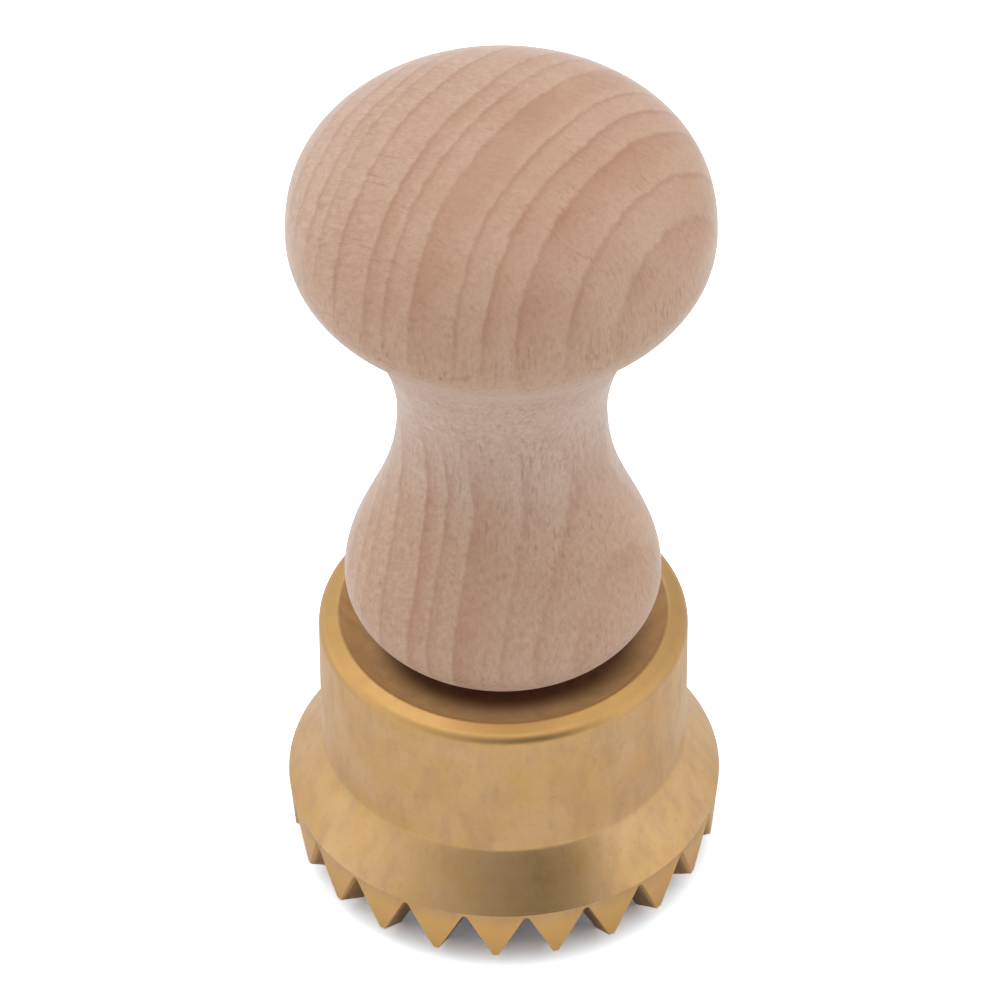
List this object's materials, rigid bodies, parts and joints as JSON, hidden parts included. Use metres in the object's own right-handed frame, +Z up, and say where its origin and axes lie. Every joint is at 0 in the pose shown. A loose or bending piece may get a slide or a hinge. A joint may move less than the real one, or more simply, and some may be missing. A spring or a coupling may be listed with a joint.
{
  "type": "ravioli stamp",
  "caption": "Hand stamp for round ravioli: turned wooden palm handle fixed to a brass die with a V-toothed cutting edge and an inner sealing ring.",
  "frame": {"origin": "on the stamp's axis, level with the lowest points of the teeth, on which it stands", "axes": "+Z up along the axis towards the ball of the handle; -Y is the front that the picture shows"},
  "size_m": [0.0512, 0.0512, 0.1072],
  "materials": {
    "beech": "bare turned beech, sanded matt",
    "brass": "satin turned brass, lightly oxidised",
    "washer_steel": "stainless, fine brushed",
    "screw_steel": "stainless, bright"
  },
  "bodies": {
    "root": {"handle": "beech", "die": "brass", "washer": "washer_steel", "fixing_screw": "screw_steel"}
  },
  "joints": []
}
